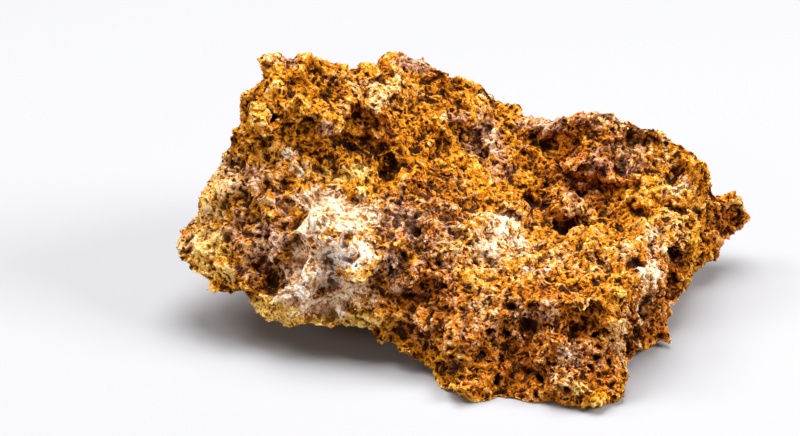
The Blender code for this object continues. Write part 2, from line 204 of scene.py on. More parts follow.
# The patches that the camera sees, in rows of across, down, wide, high and, unless it is 1, strength
SEEN: dict[Earth | Grain, tuple] = {
    # The chalky face and its ledge, the terrace's patch and plaques, the white knob, small pale places
    Earth.CHALK: (
        (322, 200, 3.6, 2.2), (352, 216, 4.4, 3.0), (310, 228, 2.6, 2.8), (300, 262, 1.8, 3.4),
        (362, 245, 3.0, 2.2, 0.9), (350, 292, 3.6, 2.6, 0.85), (284, 284, 3.8, 3.8, 0.86),
        (304, 284, 4.4, 3.6, 0.92), (325, 304, 5.4, 2.6, 0.84), (330, 240, 7.0, 9.0, 0.5),
        (290, 152, 1.6, 1.2, 0.75), (300, 170, 1.4, 1.2, 0.5), (500, 234, 6.0, 5.6, 0.56),
        (498, 226, 2.4, 3.8, 0.66), (512, 246, 1.8, 2.0, 0.6), (540, 270, 3.4, 1.3, 0.55),
        (560, 256, 2.0, 1.0, 0.4), (684, 190, 3.0, 2.0, 0.52), (655, 242, 3.6, 3.6, 0.54),
        (652, 270, 2.4, 2.8, 0.78), (520, 322, 1.1, 3.2, 0.5), (570, 355, 1.9, 2.4, 0.6),
        (490, 352, 1.8, 1.8, 0.35),
    ),
    # The core of the chalky face, and grains on the terrace
    Earth.GREY: (
        (337, 250, 3.2, 3.0, 0.66), (328, 276, 2.6, 2.0, 0.6), (297, 288, 2.2, 1.6, 0.66),
        (352, 266, 2.0, 1.6, 0.56), (515, 220, 1.0, 0.8, 0.8), (486, 212, 0.9, 0.7, 0.8),
        (527, 268, 1.0, 0.8, 0.8),
    ),
    # The band above the chalk, the left end, the ledge along the bottom, the rim and the right end
    Earth.LEMON: (
        (350, 172, 7.0, 2.0, 0.64), (204, 246, 4.6, 4.4, 0.76), (212, 205, 3.2, 4.4, 0.64),
        (222, 272, 3.4, 1.8, 0.8), (270, 308, 5.4, 2.0), (320, 316, 5.4, 2.0),
        (365, 322, 4.0, 2.0, 0.8), (300, 318, 9.0, 2.4, 0.7), (656, 186, 3.4, 2.4, 0.5),
        (700, 205, 2.4, 1.4, 0.6), (580, 390, 2.2, 1.2, 0.7), (742, 205, 2.0, 2.0, 0.5),
    ),
    # The recess on the left, the dusky place beside the chalk, and places on the humps and the front
    Earth.MAUVE: (
        (262, 178, 5.0, 4.4, 0.6), (246, 228, 4.4, 4.4, 0.66), (270, 240, 4.0, 4.4, 0.72),
        (255, 268, 4.4, 3.2, 0.6), (284, 205, 2.6, 2.8, 0.6), (400, 222, 4.4, 6.0, 0.66),
        (392, 275, 3.6, 5.0, 0.6), (412, 62, 3.4, 2.2, 0.9), (460, 116, 2.6, 2.0, 0.85),
        (484, 140, 3.8, 4.2, 0.8), (500, 170, 3.2, 2.4, 0.6), (545, 122, 5.0, 2.4, 0.75),
        (594, 118, 3.4, 2.4, 0.7), (630, 160, 4.0, 3.6, 0.56), (432, 240, 8.0, 9.0, 0.42),
        (560, 230, 8.0, 6.0, 0.28), (600, 160, 3.8, 3.0, 0.7), (575, 190, 4.0, 2.2, 0.6),
        (610, 355, 4.0, 4.0, 0.45), (425, 325, 4.0, 3.4, 0.5), (455, 350, 3.4, 3.4, 0.4),
        (470, 330, 4.0, 4.0, 0.5), (545, 315, 4.0, 3.0, 0.45), (282, 62, 3.2, 1.6, 0.6),
        (325, 128, 1.8, 1.4, 0.8),
    ),
    # The left end, the humps, the valley, the terrace, the right rim and the front
    Earth.TAN: (
        (224, 176, 4.0, 4.6, 0.72), (200, 225, 4.0, 5.0, 0.56), (186, 244, 2.4, 2.8, 0.8),
        (624, 122, 7.0, 2.4, 0.62), (660, 152, 4.0, 3.0, 0.56), (628, 146, 2.4, 2.0, 0.7),
        (490, 96, 2.8, 1.8, 0.6), (460, 185, 2.8, 2.2, 0.6), (520, 150, 2.4, 1.6, 0.4),
        (490, 250, 8.0, 6.0, 0.5), (575, 262, 10.0, 3.6, 0.42), (672, 225, 5.0, 5.0, 0.42),
        (640, 300, 3.0, 6.0, 0.6), (622, 250, 2.4, 2.2, 0.7), (622, 335, 2.2, 6.0, 0.6),
        (500, 305, 4.0, 4.0, 0.46), (560, 375, 4.0, 3.0, 0.5), (378, 92, 7.0, 4.0, 0.56),
    ),
    # Painted shade, with some real staining, in the dark hollows beside the chalk, in the bowl, the
    # front and the right face, and on the left hump
    Earth.SHADE_AND_STAIN: (
        (398, 215, 3.4, 3.4, 0.74), (404, 262, 3.4, 4.0, 0.72), (452, 205, 3.6, 3.0, 0.56),
        (425, 305, 4.6, 3.0, 0.58), (430, 228, 6.0, 8.0, 0.7), (570, 219, 3.8, 3.6),
        (568, 172, 3.2, 2.2, 0.75), (592, 190, 2.6, 1.4, 0.7), (478, 305, 3.6, 3.0, 0.56),
        (505, 355, 4.0, 3.4, 0.56), (452, 370, 3.0, 3.0, 0.58), (588, 305, 2.4, 1.8, 0.9),
        (660, 300, 2.4, 4.0, 0.6), (690, 275, 2.0, 3.4, 0.6), (346, 130, 1.3, 1.2, 0.9),
        (368, 152, 2.8, 1.5), (322, 100, 1.0, 0.8, 0.7), (290, 135, 1.0, 0.8, 0.7),
    ),
    # The crest, the bowl, the front, the right face and the left hump
    Earth.RUST: (
        (600, 135, 11.0, 5.0, 0.7), (585, 175, 6.8, 5.6), (540, 345, 15.0, 10.0, 0.86),
        (430, 300, 9.0, 9.0, 0.7), (425, 215, 7.0, 8.0, 0.7), (665, 300, 9.0, 9.0),
        (725, 225, 5.0, 7.0, 0.8), (378, 130, 3.8, 4.0, 0.8), (330, 105, 4.0, 3.0, 0.5),
    ),
    # The chalky face, the facet at the left end, the cream patch and the white knob
    Grain.POWDERY: (
        (330, 245, 7.6, 8.6), (208, 225, 4.4, 8.0, 0.4), (498, 226, 2.4, 4.0, 0.6),
        (652, 270, 2.4, 2.6, 0.8),
    ),
    # The left hump and the back knob
    Grain.ROPY: ((305, 110, 9.5, 8.0), (360, 85, 9.0, 5.5, 0.8), (430, 110, 8.0, 7.0, 0.6),),
    # The front, the bowl, the recess on the left and the right end
    Grain.POROUS: (
        (500, 350, 16.0, 10.0), (585, 175, 8.0, 6.0), (430, 280, 8.0, 8.0, 0.9),
        (600, 330, 9.0, 8.0, 0.8), (255, 250, 5.0, 6.0, 0.7), (700, 240, 8.0, 7.0, 0.6),
    ),
    # The terrace and the right rim
    Grain.LAYERED: ((575, 258, 11.0, 4.0), (660, 215, 5.0, 4.0, 0.6),),
    # The right face and the side of the valley
    Grain.RIBBED: ((665, 290, 8.0, 9.0), (720, 235, 5.0, 7.0, 0.8), (450, 140, 7.0, 7.0, 0.7),),
    # The pit, the recess behind it and one pit of the left hump
    Grain.BANKED: ((572, 216, 3.6, 3.0), (592, 178, 4.6, 2.0, 0.8), (272, 112, 2.0, 2.0),),
}

# The patches of the back, the ends and the underside, in rows of middle, radius and strength
FAR: dict[Earth | Grain, tuple] = {
    Earth.RUST: (((12.0, 28.0, 10.0), 14.0, 0.9), ((-14.0, 30.0, 20.0), 9.0, 0.8),),
    Earth.MAUVE: (
        ((-4.0, 30.0, 16.0), 8.0, 0.9), ((24.0, 24.0, 18.0), 6.0, 0.8), ((-32.0, 14.0, 22.0), 6.0, 0.8),
    ),
    Earth.CHALK: (
        ((-20.0, 26.0, 16.0), 4.0, 0.8), ((-25.0, 22.0, 20.0), 3.5, 0.7), ((30.0, 20.0, 9.0), 3.6, 0.6),
    ),
    Earth.GREY: (((-22.0, 26.0, 13.0), 3.0, 0.9),),
    Earth.LEMON: (((-36.0, 8.0, 14.0), 6.0, 0.8), ((2.0, 31.0, 24.0), 5.0, 0.7),),
    Earth.TAN: (((16.0, 29.0, 20.0), 5.0, 0.6),),
    # Painted shade, with some real staining, in the hollows of two places on the back
    Earth.SHADE_AND_STAIN: (((6.0, 31.0, 9.0), 4.0, 0.8), ((-26.0, 18.0, 8.0), 4.0, 0.8),),
    Grain.POROUS: (((8.0, 30.0, 12.0), 16.0, 0.9),),
    Grain.ROPY: (((-24.0, 20.0, 26.0), 12.0, 0.9),),
    Grain.POWDERY: (((-22.0, 25.0, 16.0), 6.0, 0.9),),
    Grain.LAYERED: (((28.0, 22.0, 10.0), 8.0, 0.8),),
}

PATCHES = (
    *(Patch(kind, *row) for kind, rows in SEEN.items() for row in rows),
    *(FarPatch(kind, *row) for kind, rows in FAR.items() for row in rows),
)


def deselect_all() -> None:
    """Leaves no object selected."""
    if bpy.context.mode != "OBJECT":
        bpy.ops.object.mode_set(mode="OBJECT")
    bpy.ops.object.select_all(action="DESELECT")


def take_up(piece: bpy.types.Object) -> None:
    """Selects one piece alone and makes it the active one."""
    deselect_all()
    piece.select_set(True)
    bpy.context.view_layer.objects.active = piece


def finish_modifiers(piece: bpy.types.Object) -> None:
    """Applies a piece's modifiers in their order."""
    take_up(piece)
    for modifier in list(piece.modifiers):
        bpy.ops.object.modifier_apply(modifier=modifier.name)


def points_of(mesh: bpy.types.Mesh) -> np.ndarray:
    """Gives a mesh's points as rows of three numbers, in metres."""
    flat = np.empty(len(mesh.vertices) * 3, np.float32)
    mesh.vertices.foreach_get("co", flat)
    return flat.reshape(-1, 3)


def settle(piece: bpy.types.Object) -> None:
    """Keeps every point of a piece at or above the plane that the lump rests on."""
    points = points_of(piece.data)
    points[:, 2] = np.maximum(points[:, 2], 0.0)
    piece.data.vertices.foreach_set("co", points.ravel())
    piece.data.update()


def write_level(mesh: bpy.types.Mesh, name: str, values: np.ndarray) -> None:
    """Writes one number for each point of a mesh, as an attribute."""
    layer = mesh.attributes.get(name) or mesh.attributes.new(name, "FLOAT", "POINT")
    layer.data.foreach_set("value", values.astype(np.float32))


def declare(piece: bpy.types.Object, finish: bpy.types.Material) -> None:
    """Dresses a finished piece, hides the imported lump in its place, and hangs it on the body that it
    rides on.
    """
    piece.data.materials.clear()
    piece.data.materials.append(finish)
    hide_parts(NODE)
    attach(piece, BODY)
    log.info("%s: %d triangles", piece.name, len(piece.data.polygons))


class Sheet:
    """A node tree being laid out, for a finish or for a modifier that shapes the surface.

    The same texture and arithmetic nodes serve both, so both can be laid out by the same calls.
    """

    def __init__(self, tree: bpy.types.NodeTree, place: Socket) -> None:
        """Starts on a tree.

        Args:
            tree: the node tree.
            place: the socket that gives a point's place, in metres.
        """
        self.tree = tree
        self.place = place

    def add(self, kind: str, **settings: object) -> bpy.types.Node:
        """Adds a node and sets its options."""
        node = self.tree.nodes.new(kind)
        for name, value in settings.items():
            setattr(node, name, value)
        return node

    def feed(self, socket: Socket, value: object) -> None:
        """Links a socket to another, or sets it to a plain value."""
        if isinstance(value, bpy.types.NodeSocket):
            self.tree.links.new(value, socket)
        else:
            socket.default_value = value

    def result(self, node: bpy.types.Node, *values: object) -> Socket:
        """Feeds a node's sockets in their order and gives its first result."""
        for socket, value in zip(node.inputs, values):
            self.feed(socket, value)
        return node.outputs[0]

    def count(self, operation: str, *values: object) -> Socket:
        """Works out one operation of arithmetic on sockets or numbers."""
        return self.result(self.add("ShaderNodeMath", operation=operation), *values)

    def vector(self, operation: str, *values: object) -> Socket:
        """Works out one operation of arithmetic on vectors."""
        return self.result(self.add("ShaderNodeVectorMath", operation=operation), *values)

    def scaled(self, vector: object, factor: object) -> Socket:
        """Makes a vector longer or shorter by a factor."""
        node = self.add("ShaderNodeVectorMath", operation="SCALE")
        self.feed(node.inputs["Vector"], vector)
        self.feed(node.inputs["Scale"], factor)
        return node.outputs[0]

    def chain(self, operation: str, values: tuple) -> Socket:
        """Works out one operation on any number of sockets or numbers, from the first to the last."""
        return reduce(lambda result, value: self.count(operation, result, value), values)

    def total(self, *values: object) -> Socket:
        """Adds any number of sockets or numbers."""
        return self.chain("ADD", values)

    def product(self, *values: object) -> Socket:
        """Multiplies any number of sockets or numbers."""
        return self.chain("MULTIPLY", values)

    def highest(self, *values: object) -> Socket:
        """Gives the highest of any number of sockets or numbers."""
        return self.chain("MAXIMUM", values)

    def balanced(self, value: object) -> Socket:
        """Moves a value from the range 0 to 1 to the range -0.5 to 0.5."""
        return self.count("SUBTRACT", value, 0.5)

    def parts(self, value: object) -> list[Socket]:
        """Parts a colour or a place into its three numbers."""
        node = self.add("ShaderNodeSeparateXYZ")
        self.feed(node.inputs[0], value)
        return list(node.outputs)

    def step(
        self, value: object, low: float, high: float, start: float = 0.0, end: float = 1.0
    ) -> Socket:
        """Maps a value softly from one range to another, and holds it at the ends.

        Args:
            value: the socket that is mapped.
            low, high: the range in which it counts.
            start, end: the results at low and at high.

        Returns:
            The mapped value.
        """
        node = self.add("ShaderNodeMapRange", interpolation_type="SMOOTHSTEP")
        return self.result(node, value, low, high, start, end)

    def noise(
        self, size: float, detail: float = 2.0, roughness: float = 0.5, shift: float = 0.0
    ) -> bpy.types.Node:
        """Adds cloudy noise.

        Args:
            size: about how wide one cloud is, in millimetres.
            detail: how many finer layers it has.
            roughness: how strong the finer layers are.
            shift: moves the pattern, so that two of one size differ.

        Returns:
            The node, with its value first and its three values as a colour second.
        """
        node = self.add("ShaderNodeTexNoise", noise_dimensions="4D")
        self.feed(node.inputs["Vector"], self.place)
        node.inputs["W"].default_value = shift
        node.inputs["Scale"].default_value = 1.0 / (size * MM)
        node.inputs["Detail"].default_value = detail
        node.inputs["Roughness"].default_value = roughness
        return node

    def cells(self, size: float, shift: float = 0.0) -> bpy.types.Node:
        """Adds a pattern of irregular cells.

        Args:
            size: about how wide one cell is, in millimetres.
            shift: moves the pattern, so that two of one size differ.

        Returns:
            The node, with the distance from a cell's middle in cell widths, and a colour for each cell.
        """
        node = self.add("ShaderNodeTexVoronoi", feature="F1")
        self.feed(node.inputs["Vector"], self.vector("ADD", self.place, (shift, shift, shift)))
        node.inputs["Scale"].default_value = 1.0 / (size * MM)
        return node

    def shaken(self, size: float, reach: float, shift: float = 0.0) -> "Sheet":
        """Gives a sheet on the same tree whose patterns are pushed about.

        Args:
            size: how wide the pushes are, in millimetres.
            reach: how far they go, in millimetres.
            shift: moves the pattern of the pushes.

        Returns:
            The new sheet.
        """
        wobble = self.noise(size, 1.0, 0.5, shift).outputs[1]
        pushed_back = self.vector("SUBTRACT", self.place, (reach * MM,) * 3)
        pushed = self.vector("MULTIPLY_ADD", wobble, (2 * reach * MM,) * 3, pushed_back)
        return Sheet(self.tree, pushed)

    def drawn(self, along: tuple[float, float, float], lean: float = 0.0) -> "Sheet":
        """Gives a sheet whose patterns are drawn out or pressed.

        Args:
            along: how often a pattern repeats along each axis, beside its usual number.
            lean: how far the axes are turned about Y first, in degrees.

        Returns:
            The new sheet.
        """
        leant = self.add("ShaderNodeVectorRotate", rotation_type="Y_AXIS")
        self.feed(leant.inputs["Vector"], self.place)
        leant.inputs["Angle"].default_value = math.radians(lean)
        return Sheet(self.tree, self.vector("MULTIPLY", leant.outputs[0], along))


class ShapingSheet(Sheet):
    """A sheet for a modifier that shapes a mesh, which comes in at entry and leaves at exit."""

    entry: Socket
    exit: Socket

    @classmethod
    def new(cls, name: str) -> "ShapingSheet":
        """Starts a modifier's tree, which takes a mesh in and gives one back."""
        tree = bpy.data.node_groups.new(name, "GeometryNodeTree")
        tree.interface.new_socket("Geometry", in_out="INPUT", socket_type="NodeSocketGeometry")
        tree.interface.new_socket("Geometry", in_out="OUTPUT", socket_type="NodeSocketGeometry")
        where = tree.nodes.new("GeometryNodeInputPosition")
        sheet = cls(tree, where.outputs[0])
        sheet.entry = tree.nodes.new("NodeGroupInput").outputs[0]
        sheet.exit = tree.nodes.new("NodeGroupOutput").inputs[0]
        return sheet

    def field(self, name: str) -> Socket:
        """Reads an attribute of the mesh."""
        node = self.add("GeometryNodeInputNamedAttribute", data_type="FLOAT")
        node.inputs[0].default_value = name
        return node.outputs[0]

    def use_on(self, piece: bpy.types.Object) -> None:
        """Puts the tree on a piece as a modifier."""
        modifier = piece.modifiers.new(self.tree.name, "NODES")
        modifier.node_group = self.tree


@dataclass(frozen=True)
class Lumps:
    """Rounded lumps packed side by side, with creases between them.

    Attributes:
        size, rise: how wide and high they are, in millimetres.
        top, roundness: the height of a lump's middle as a share of its rise, and how flat its top is.
    """

    size: float
    rise: float
    top: float = 0.62
    roundness: float = 1.7

    def height(self, sheet: Sheet) -> Socket:
        """Gives how far the lumps stand up, in metres."""
        reach = sheet.cells(self.size).outputs["Distance"]
        dome = sheet.count("SUBTRACT", self.top, sheet.count("POWER", reach, self.roundness))
        return sheet.product(dome, self.rise * MM)


@dataclass(frozen=True)
class Blocks:
    """Broken blocks, each standing a little higher or lower than the next.

    Attributes:
        size, step: how wide they are and how far their levels differ, in millimetres.
        shift: moves the pattern.
    """

    size: float
    step: float
    shift: float

    def height(self, sheet: Sheet) -> Socket:
        """Gives how far the blocks stand up or lie back, in metres."""
        level = sheet.parts(sheet.cells(self.size, self.shift).outputs["Color"])[0]
        return sheet.product(sheet.balanced(level), self.step * MM)


@dataclass(frozen=True)
class Pores:
    """Round pores, in a share of the cells of a pattern.

    Attributes:
        size, depth: how wide the cells and how deep the pores are, in millimetres.
        share: the share of the cells that hold a pore.
        floor, reach: how far a pore's flat floor and its rim lie from its middle, in cell widths.
    """

    size: float
    depth: float
    share: float
    floor: float = 0.12
    reach: float = 0.42

    def height(self, sheet: Sheet) -> Socket:
        """Gives how far the pores go down, in metres and below zero."""
        cells = sheet.cells(self.size)
        chosen = sheet.count("LESS_THAN", sheet.parts(cells.outputs["Color"])[1], self.share)
        bowl = sheet.step(cells.outputs["Distance"], self.floor, self.reach, 1.0, 0.0)
        return sheet.product(chosen, bowl, -self.depth * MM)


@dataclass(frozen=True)
class Caves:
    """Winding cavities with ragged rims, wherever cloudy noise is low.

    Attributes:
        size, depth: how wide and deep the cavities are, in millimetres.
        rim: the noise's value at their rims.
        wall: how far below that value their floors begin.
    """

    size: float
    depth: float
    rim: float
    wall: float = 0.1

    def height(self, sheet: Sheet) -> Socket:
        """Gives how far the cavities go down, in metres and below zero."""
        value = sheet.noise(self.size).outputs[0]
        return sheet.step(value, self.rim - self.wall, self.rim, -self.depth * MM, 0.0)


@dataclass(frozen=True)
class Crests:
    """Sharp winding crests with finer ones between them and steep dips beside them.

    Attributes:
        size, rise: how far apart the crests are and how high they stand, in millimetres.
        detail, roughness: how many layers of finer crests there are, and how strong they are.
        shift: moves the pattern.
        middle: the noise's value at the middle height.
        lowest: where the dips are held, because deeper ones look like craters.
    """

    size: float
    rise: float = 1.0
    detail: float = 1.0
    roughness: float = 0.6
    shift: float = 0.0
    middle: float = 1.2
    lowest: float = -0.6

    def line(self, sheet: Sheet) -> Socket:
        """Gives how far a point stands above the middle height, up to about 0.5."""
        node = sheet.noise(self.size, self.detail, self.roughness, self.shift)
        node.noise_type = "RIDGED_MULTIFRACTAL"
        node.normalize = False
        node.inputs["Offset"].default_value = 1.0
        node.inputs["Gain"].default_value = 2.0
        return sheet.highest(sheet.count("SUBTRACT", node.outputs[0], self.middle), self.lowest)

    def height(self, sheet: Sheet) -> Socket:
        """Gives how far the surface stands up or lies back, in metres."""
        return sheet.product(self.line(sheet), self.rise * MM)


@dataclass(frozen=True)
class Rough:
    """Irregular roughness with finer roughness on it.

    Attributes:
        size, rise: how wide and how high it is, in millimetres.
        detail, roughness: how many finer layers there are, and how strong they are.
    """

    size: float
    rise: float
    detail: float = 3.0
    roughness: float = 0.6

    def height(self, sheet: Sheet) -> Socket:
        """Gives how far the surface stands up or lies back, in metres."""
        value = sheet.noise(self.size, self.detail, self.roughness).outputs[0]
        return sheet.product(sheet.balanced(value), 2 * self.rise * MM)


@dataclass
class Painter:
    """Says where each kind of earth and grain lies, on any mesh of the specimen.

    Attributes:
        form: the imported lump, on which the patches are placed.
        patches: the patches.
        depth_reach: how deep a patch reaches away from the camera, as a share of its larger half.
        fade: how far out a patch ends, as a share of its size.
    """

    form: BVHTree
    patches: tuple[Patch | FarPatch, ...] = PATCHES
    depth_reach: float = 1.6
    fade: float = 1.5

    def middle_of(self, patch: Patch | FarPatch) -> np.ndarray:
        """Finds a patch's middle on the lump, in metres."""
        if isinstance(patch, FarPatch):
            return np.array(patch.middle) * MM
        stand = VIEW.stand()
        hit = self.form.ray_cast(stand, VIEW.ray(patch.across, patch.down))[0]
        if hit is None:
            log.warning("patch at (%g, %g) is beside the lump", patch.across, patch.down)
            return np.zeros(3)
        return np.array(hit)

    def closeness(self, patch: Patch | FarPatch, points: np.ndarray) -> np.ndarray:
        """Gives how near points are to a patch's middle.

        Args:
            patch: the patch.
            points: rows of three numbers, in metres.

        Returns:
            For each point 1 at the middle, 0.5 near the edge, and 0 from well outside it.
        """
        away = (points - self.middle_of(patch)) / MM
        if isinstance(patch, FarPatch):
            far = np.linalg.norm(away, axis=1) / patch.radius
        else:
            deep = self.depth_reach * max(patch.wide, patch.high)
            sizes = (patch.wide, patch.high, deep)
            squares = [(away @ np.array(axis) / size) ** 2 for axis, size in zip(VIEW.axes(), sizes)]
            far = np.sqrt(sum(squares))
        return patch.strength * np.clip(self.fade - far, 0.0, 1.0)

    def mark(self, mesh: bpy.types.Mesh) -> None:
        """Writes each kind's closeness to a mesh as an attribute of the kind's name."""
        points = points_of(mesh)
        for kind in [*Earth, *Grain]:
            level = np.zeros(len(points), np.float32)
            for patch in self.patches:
                if patch.kind is kind:
                    level = np.maximum(level, self.closeness(patch, points))
            write_level(mesh, kind.value, level)


@dataclass(frozen=True)
class Weave:
    """The patterns that the parts of the ore's finish share.

    Attributes:
        loose, streaked: sheets whose patterns are pushed about a little, and further.
        picks: three chance numbers for each grain, with zero on average.
        hollow: how far a point lies below its surroundings, in millimetres.
        speckle: fine cloudy noise with zero on average.
        threads, fine_threads: how far a point stands on the crests of the ore's threads.
    """

    loose: Sheet
    streaked: Sheet
    picks: list[Socket]
    hollow: Socket
    speckle: Socket
    threads: Socket
    fine_threads: Socket


@dataclass(frozen=True)
class OreFinish:
    """The finish of the ore: which earths it mixes, and how finely.

    Attributes:
        name: the material's name.
        roughness, specular: the shader's own values.
        bump_depth: how far the finest grains stand up, in millimetres.
        places: where each earth's four tones lie, from the painted shade of its pits at 0 to the painted
            highlight of its edges at 1.
        ochre, rust, mauve, grey, lemon, tan, chalk: the tones of each earth.
        pit_shade_and_stain: the dark colour in pores, gaps and hollows, which is painted shade with some
            of the ore's real dark staining.
    """

    name: str = "bauxite ore"
    roughness: float = 0.92
    specular: float = 0.15
    bump_depth: float = 0.3
    places: tuple[float, ...] = (0.08, 0.38, 0.64, 0.95)
    # Each earth's darkest colour is painted shade in its pits and its palest a painted highlight on its
    # edges; the middle ones are its own colour
    ochre: Tones = tones_of((94, 45, 4), (204, 121, 6), (238, 163, 24), (252, 218, 140))
    rust: Tones = tones_of((78, 34, 4), (172, 88, 8), (218, 128, 26), (244, 200, 136))
    mauve: Tones = tones_of((106, 60, 36), (194, 138, 100), (228, 180, 144), (248, 220, 194))
    grey: Tones = tones_of((164, 140, 124), (226, 208, 194), (242, 228, 216), (250, 242, 232))
    lemon: Tones = tones_of((192, 124, 32), (248, 192, 80), (252, 216, 128), (254, 240, 200))
    tan: Tones = tones_of((160, 100, 42), (240, 186, 114), (249, 213, 158), (254, 239, 210))
    chalk: Tones = tones_of((198, 134, 74), (242, 204, 160), (251, 232, 208), (254, 250, 244))
    # Painted shade in pores, gaps and hollows, with some real staining
    pit_shade_and_stain: Colour = paint(38, 17, 5)

    def mix(self, sheet: Sheet, share: object, first: object, second: object) -> Socket:
        """Mixes two colours by a share."""
        node = sheet.add("ShaderNodeMix", data_type="RGBA")
        sheet.feed(node.inputs[0], share)
        for socket, colour in ((node.inputs[6], first), (node.inputs[7], second)):
            sheet.feed(socket, (*colour, 1.0) if isinstance(colour, tuple) else colour)
        return node.outputs[2]

    def tones(self, sheet: Sheet, value: Socket, colours: Tones) -> Socket:
        """Spreads an earth's tones over a value from 0 to 1."""
        ramp = sheet.add("ShaderNodeValToRGB")
        stops = ramp.color_ramp.elements
        while len(stops) < len(colours):
            stops.new(0.5)
        for stop, place, colour in zip(stops, self.places, colours):
            stop.position = place
            stop.color = (*colour, 1.0)
        sheet.feed(ramp.inputs[0], value)
        return ramp.outputs[0]

    def level(self, sheet: Sheet, name: str) -> Socket:
        """Reads an attribute of the surface."""
        return sheet.add("ShaderNodeAttribute", attribute_name=name).outputs["Fac"]

    def swing(
        self, sheet: Sheet, size: float, reach: float, shift: float, detail: float = 4.0
    ) -> Socket:
        """Gives noise with zero on average.

        Args:
            sheet: the sheet that it is laid out on.
            size: how wide one cloud is, in millimetres.
            reach: about how far it mostly swings to either side.
            shift: moves the pattern.
            detail: how many finer layers it has.

        Returns:
            The value.
        """
        value = sheet.noise(size, detail, 0.72, shift).outputs[0]
        return sheet.product(sheet.balanced(value), 5.0 * reach)

    def area(self, sheet: Sheet, kind: Earth, fray: Socket) -> Socket:
        """Gives where an earth lies, with a frayed edge.

        Args:
            sheet: the finish's sheet.
            kind: the earth.
            fray: how far the edge is moved, with zero on average.

        Returns:
            Its share, from 0 to 1.
        """
        level = self.level(sheet, kind.value)
        seen = sheet.step(level, 0.02, 0.15)
        return sheet.product(seen, sheet.step(sheet.total(level, fray), 0.5, 0.64))

    def weave(self, sheet: Sheet) -> Weave:
        """Lays out the patterns that the colour and the bumps share."""
        loose = sheet.shaken(0.9, 0.4)
        streaked = sheet.shaken(1.8, 1.1, 3.0)
        lots = sheet.parts(loose.cells(0.45).outputs["Color"])
        return Weave(
            loose=loose,
            streaked=streaked,
            picks=[sheet.product(sheet.balanced(lot), 0.35) for lot in lots],
            hollow=self.level(sheet, HOLLOW),
            speckle=self.swing(loose, 0.4, 0.3, 13.0),
            threads=Crests(size=0.95, detail=2.0, shift=2.0).line(streaked),
            fine_threads=Crests(size=0.5, shift=4.0).line(loose),
        )

    def frays(self, weave: Weave) -> list[Socket]:
        """Gives three ways in which the edges of the earths fray, with zero on average."""
        return [
            weave.loose.total(
                self.swing(weave.loose, 3.6, 0.36, shift),
                self.swing(weave.streaked, 0.9, 0.42, shift + 1.0),
                self.swing(weave.loose, 0.45, 0.26, shift + 2.0, 2.0),
                pick,
            )
            for shift, pick in zip((0.0, 5.0, 9.0), weave.picks)
        ]

    def tone_with_painted_shade_and_highlight(self, sheet: Sheet, weave: Weave) -> Socket:
        """Gives which of its earth's tones a point has: it varies at random, and it is low in hollows
        and between threads as painted shade, and high on edges and the crests of threads as painted
        highlight.
        """
        return sheet.total(
            0.39,
            self.swing(weave.loose, 7.0, 0.14, 29.0),
            self.swing(weave.loose, 2.6, 0.12, 17.0),
            sheet.product(weave.speckle, 0.35),
            sheet.product(weave.hollow, -0.65),
            sheet.product(weave.threads, 0.42),
            sheet.product(weave.fine_threads, 0.3),
            sheet.product(weave.picks[0], 0.3),
        )

    def colour(self, sheet: Sheet, weave: Weave) -> Socket:
        """Mixes the colour of every point.

        Args:
            sheet: the finish's sheet.
            weave: the patterns of the ore.

        Returns:
            The colour.
        """
        loose = weave.loose
        first, second, third = self.frays(weave)
        tone_with_painted_shade_and_highlight = self.tone_with_painted_shade_and_highlight(sheet, weave)
        broad = self.swing(loose, 11.0, 0.5, 21.0)
        rusty = sheet.step(sheet.total(broad, sheet.product(second, 0.8)), 0.15, 0.4, 0.0, 0.85)
        stray_mauve = sheet.total(third, self.swing(loose, 0.6, 0.4, 27.0))
        # Tan in random specks, and more of it on edges that stand above their surroundings, where it is
        # a painted highlight with some pale dust
        tan_specks_and_edge_highlight = sheet.total(first, sheet.product(weave.hollow, -0.8))
        layers = (
            (rusty, self.rust),
            (sheet.step(stray_mauve, 0.5, 0.68), self.mauve),
            (sheet.step(tan_specks_and_edge_highlight, 0.74, 0.94), self.tan),
            (self.area(sheet, Earth.RUST, first), self.rust),
            (self.area(sheet, Earth.LEMON, second), self.lemon),
            (self.area(sheet, Earth.TAN, third), self.tan),
            (self.area(sheet, Earth.MAUVE, second), self.mauve),
            (self.area(sheet, Earth.CHALK, first), self.chalk),
            (self.area(sheet, Earth.GREY, third), self.grey),
        )
        result = self.tones(sheet, tone_with_painted_shade_and_highlight, self.ochre)
        for share, colours in layers:
            result = self.mix(sheet, share, result, self.tones(sheet, tone_with_painted_shade_and_highlight, colours))
        # Last, the dark pit colour over all: painted shade, with some real staining
        return self.mix(sheet, self.depth(sheet, weave), result, self.pit_shade_and_stain)

    def depth(self, sheet: Sheet, weave: Weave) -> Socket:
        """Gives how much of the dark pit colour a point takes in pores, gaps and hollows: painted shade,
        with some real staining.

        Args:
            sheet: the finish's sheet.
            weave: the patterns of the ore.

        Returns:
            The share of the dark pit colour, from 0 to 1.
        """
        gaps = sheet.step(weave.threads, -0.21, -0.4)
        pinholes = sheet.step(self.swing(weave.loose, 0.5, 0.4, 37.0, 2.0), -0.3, -0.4)
        sunk = sheet.step(sheet.total(weave.hollow, sheet.product(weave.speckle, 0.1)), 0.08, 0.42)
        low = sheet.step(sheet.total(weave.hollow, weave.speckle), -0.25, 0.15)
        # The dark pit colour in the low parts of the places marked for painted shade, with some real
        # staining
        stain = self.area(sheet, Earth.SHADE_AND_STAIN, self.swing(weave.loose, 1.2, 0.5, 43.0))
        chalky, lemony, mauvish = (
            self.level(sheet, kind.value) for kind in (Earth.CHALK, Earth.LEMON, Earth.MAUVE)
        )
